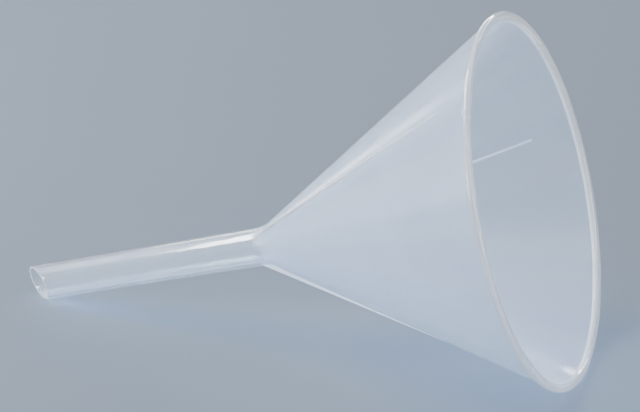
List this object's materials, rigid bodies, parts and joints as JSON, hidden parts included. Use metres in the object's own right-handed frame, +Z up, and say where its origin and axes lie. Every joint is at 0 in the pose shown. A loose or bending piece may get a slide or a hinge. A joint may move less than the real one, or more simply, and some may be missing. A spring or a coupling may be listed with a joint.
{
  "type": "laboratory funnel",
  "caption": "Translucent moulded laboratory funnel with a wide 60 degree cone, a beaded rim, slim outside ribs and a long stem cut off at an angle, lying on its side.",
  "frame": {"origin": "ground point under the middle of the bounding box, with the funnel lying on its side on the ground", "axes": "+Z up, +X along the level run of the funnel's own axis from stem tip to mouth; the axis itself climbs 17.1 degrees from the tip towards the mouth; +Y completes the right-handed set, so the bevelled stem opening faces -Y"},
  "size_m": [0.2394, 0.15, 0.1435],
  "materials": {
    "cone_plastic": "milky translucent, satin",
    "rim_plastic": "milky translucent, smooth",
    "stem_plastic": "translucent, smooth"
  },
  "bodies": {
    "root": {"cone_wall": "cone_plastic", "rim_bead": "rim_plastic", "rim_nib": "rim_plastic", "neck": "cone_plastic", "stem_tube": "stem_plastic", "stem_tip": "stem_plastic", "rib_upper": "cone_plastic", "rib_lower": "cone_plastic", "rib_rear": "cone_plastic"}
  },
  "joints": []
}
